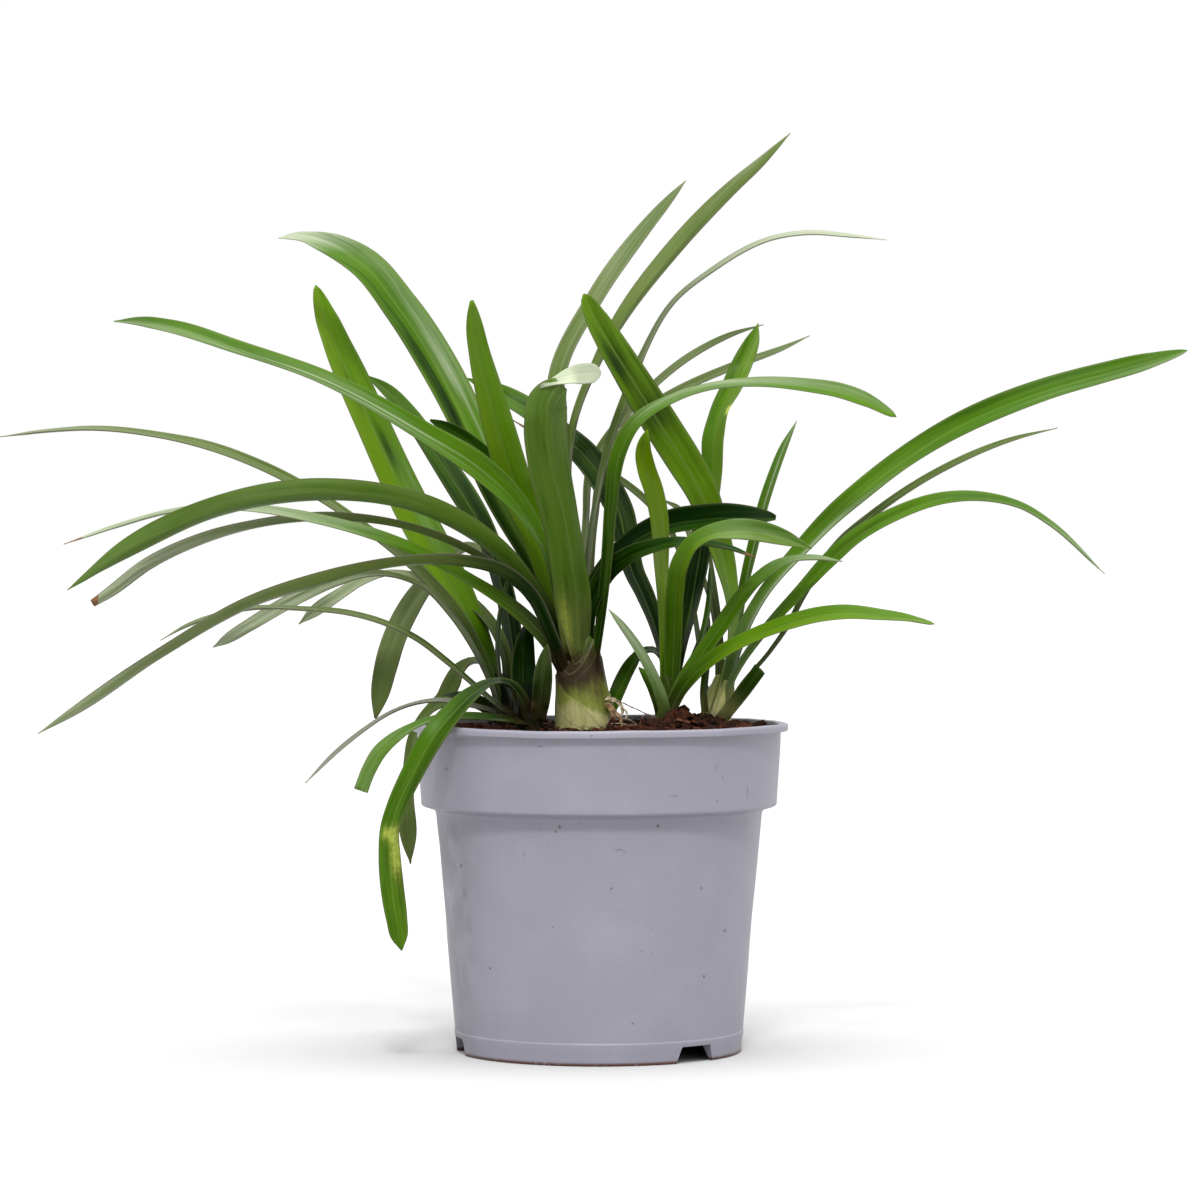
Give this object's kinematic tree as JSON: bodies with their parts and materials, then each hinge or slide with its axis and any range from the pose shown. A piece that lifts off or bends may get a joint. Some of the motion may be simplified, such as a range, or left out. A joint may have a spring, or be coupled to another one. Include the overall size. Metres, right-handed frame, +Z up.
{
  "type": "potted agapanthus plant",
  "caption": "Young agapanthus with long arching strap leaves in a round grey plastic nursery pot with a collar rim, soil and bark mulch.",
  "frame": {"origin": "centre of the flat pad under the pot's floor, on the pot's axis, at floor level", "axes": "+Z up along the pot's axis; the plant's front, the side seen in the picture, faces -Y; +X is to the right from the front"},
  "size_m": [0.5358, 0.2101, 0.4255],
  "materials": {
    "pot_plastic": "satin grey-lilac injection-moulded plastic, lightly scuffed and dusty",
    "potting_soil": "dark crumbly peat compost",
    "bark": "rough reddish-brown bark chips and fibres",
    "leaf": "smooth waxy green leaf with fine parallel veins, a paler midrib and thin purplish margins"
  },
  "bodies": {
    "root": {"pot": "pot_plastic", "soil": "potting_soil", "bark_mulch": "bark", "shoot_center": "leaf", "shoot_left": "leaf", "shoot_left_back": "leaf", "shoot_left_front": "leaf", "shoot_right": "leaf", "shoot_far_right_back": "leaf", "shoot_far_right_front": "leaf"}
  },
  "joints": []
}
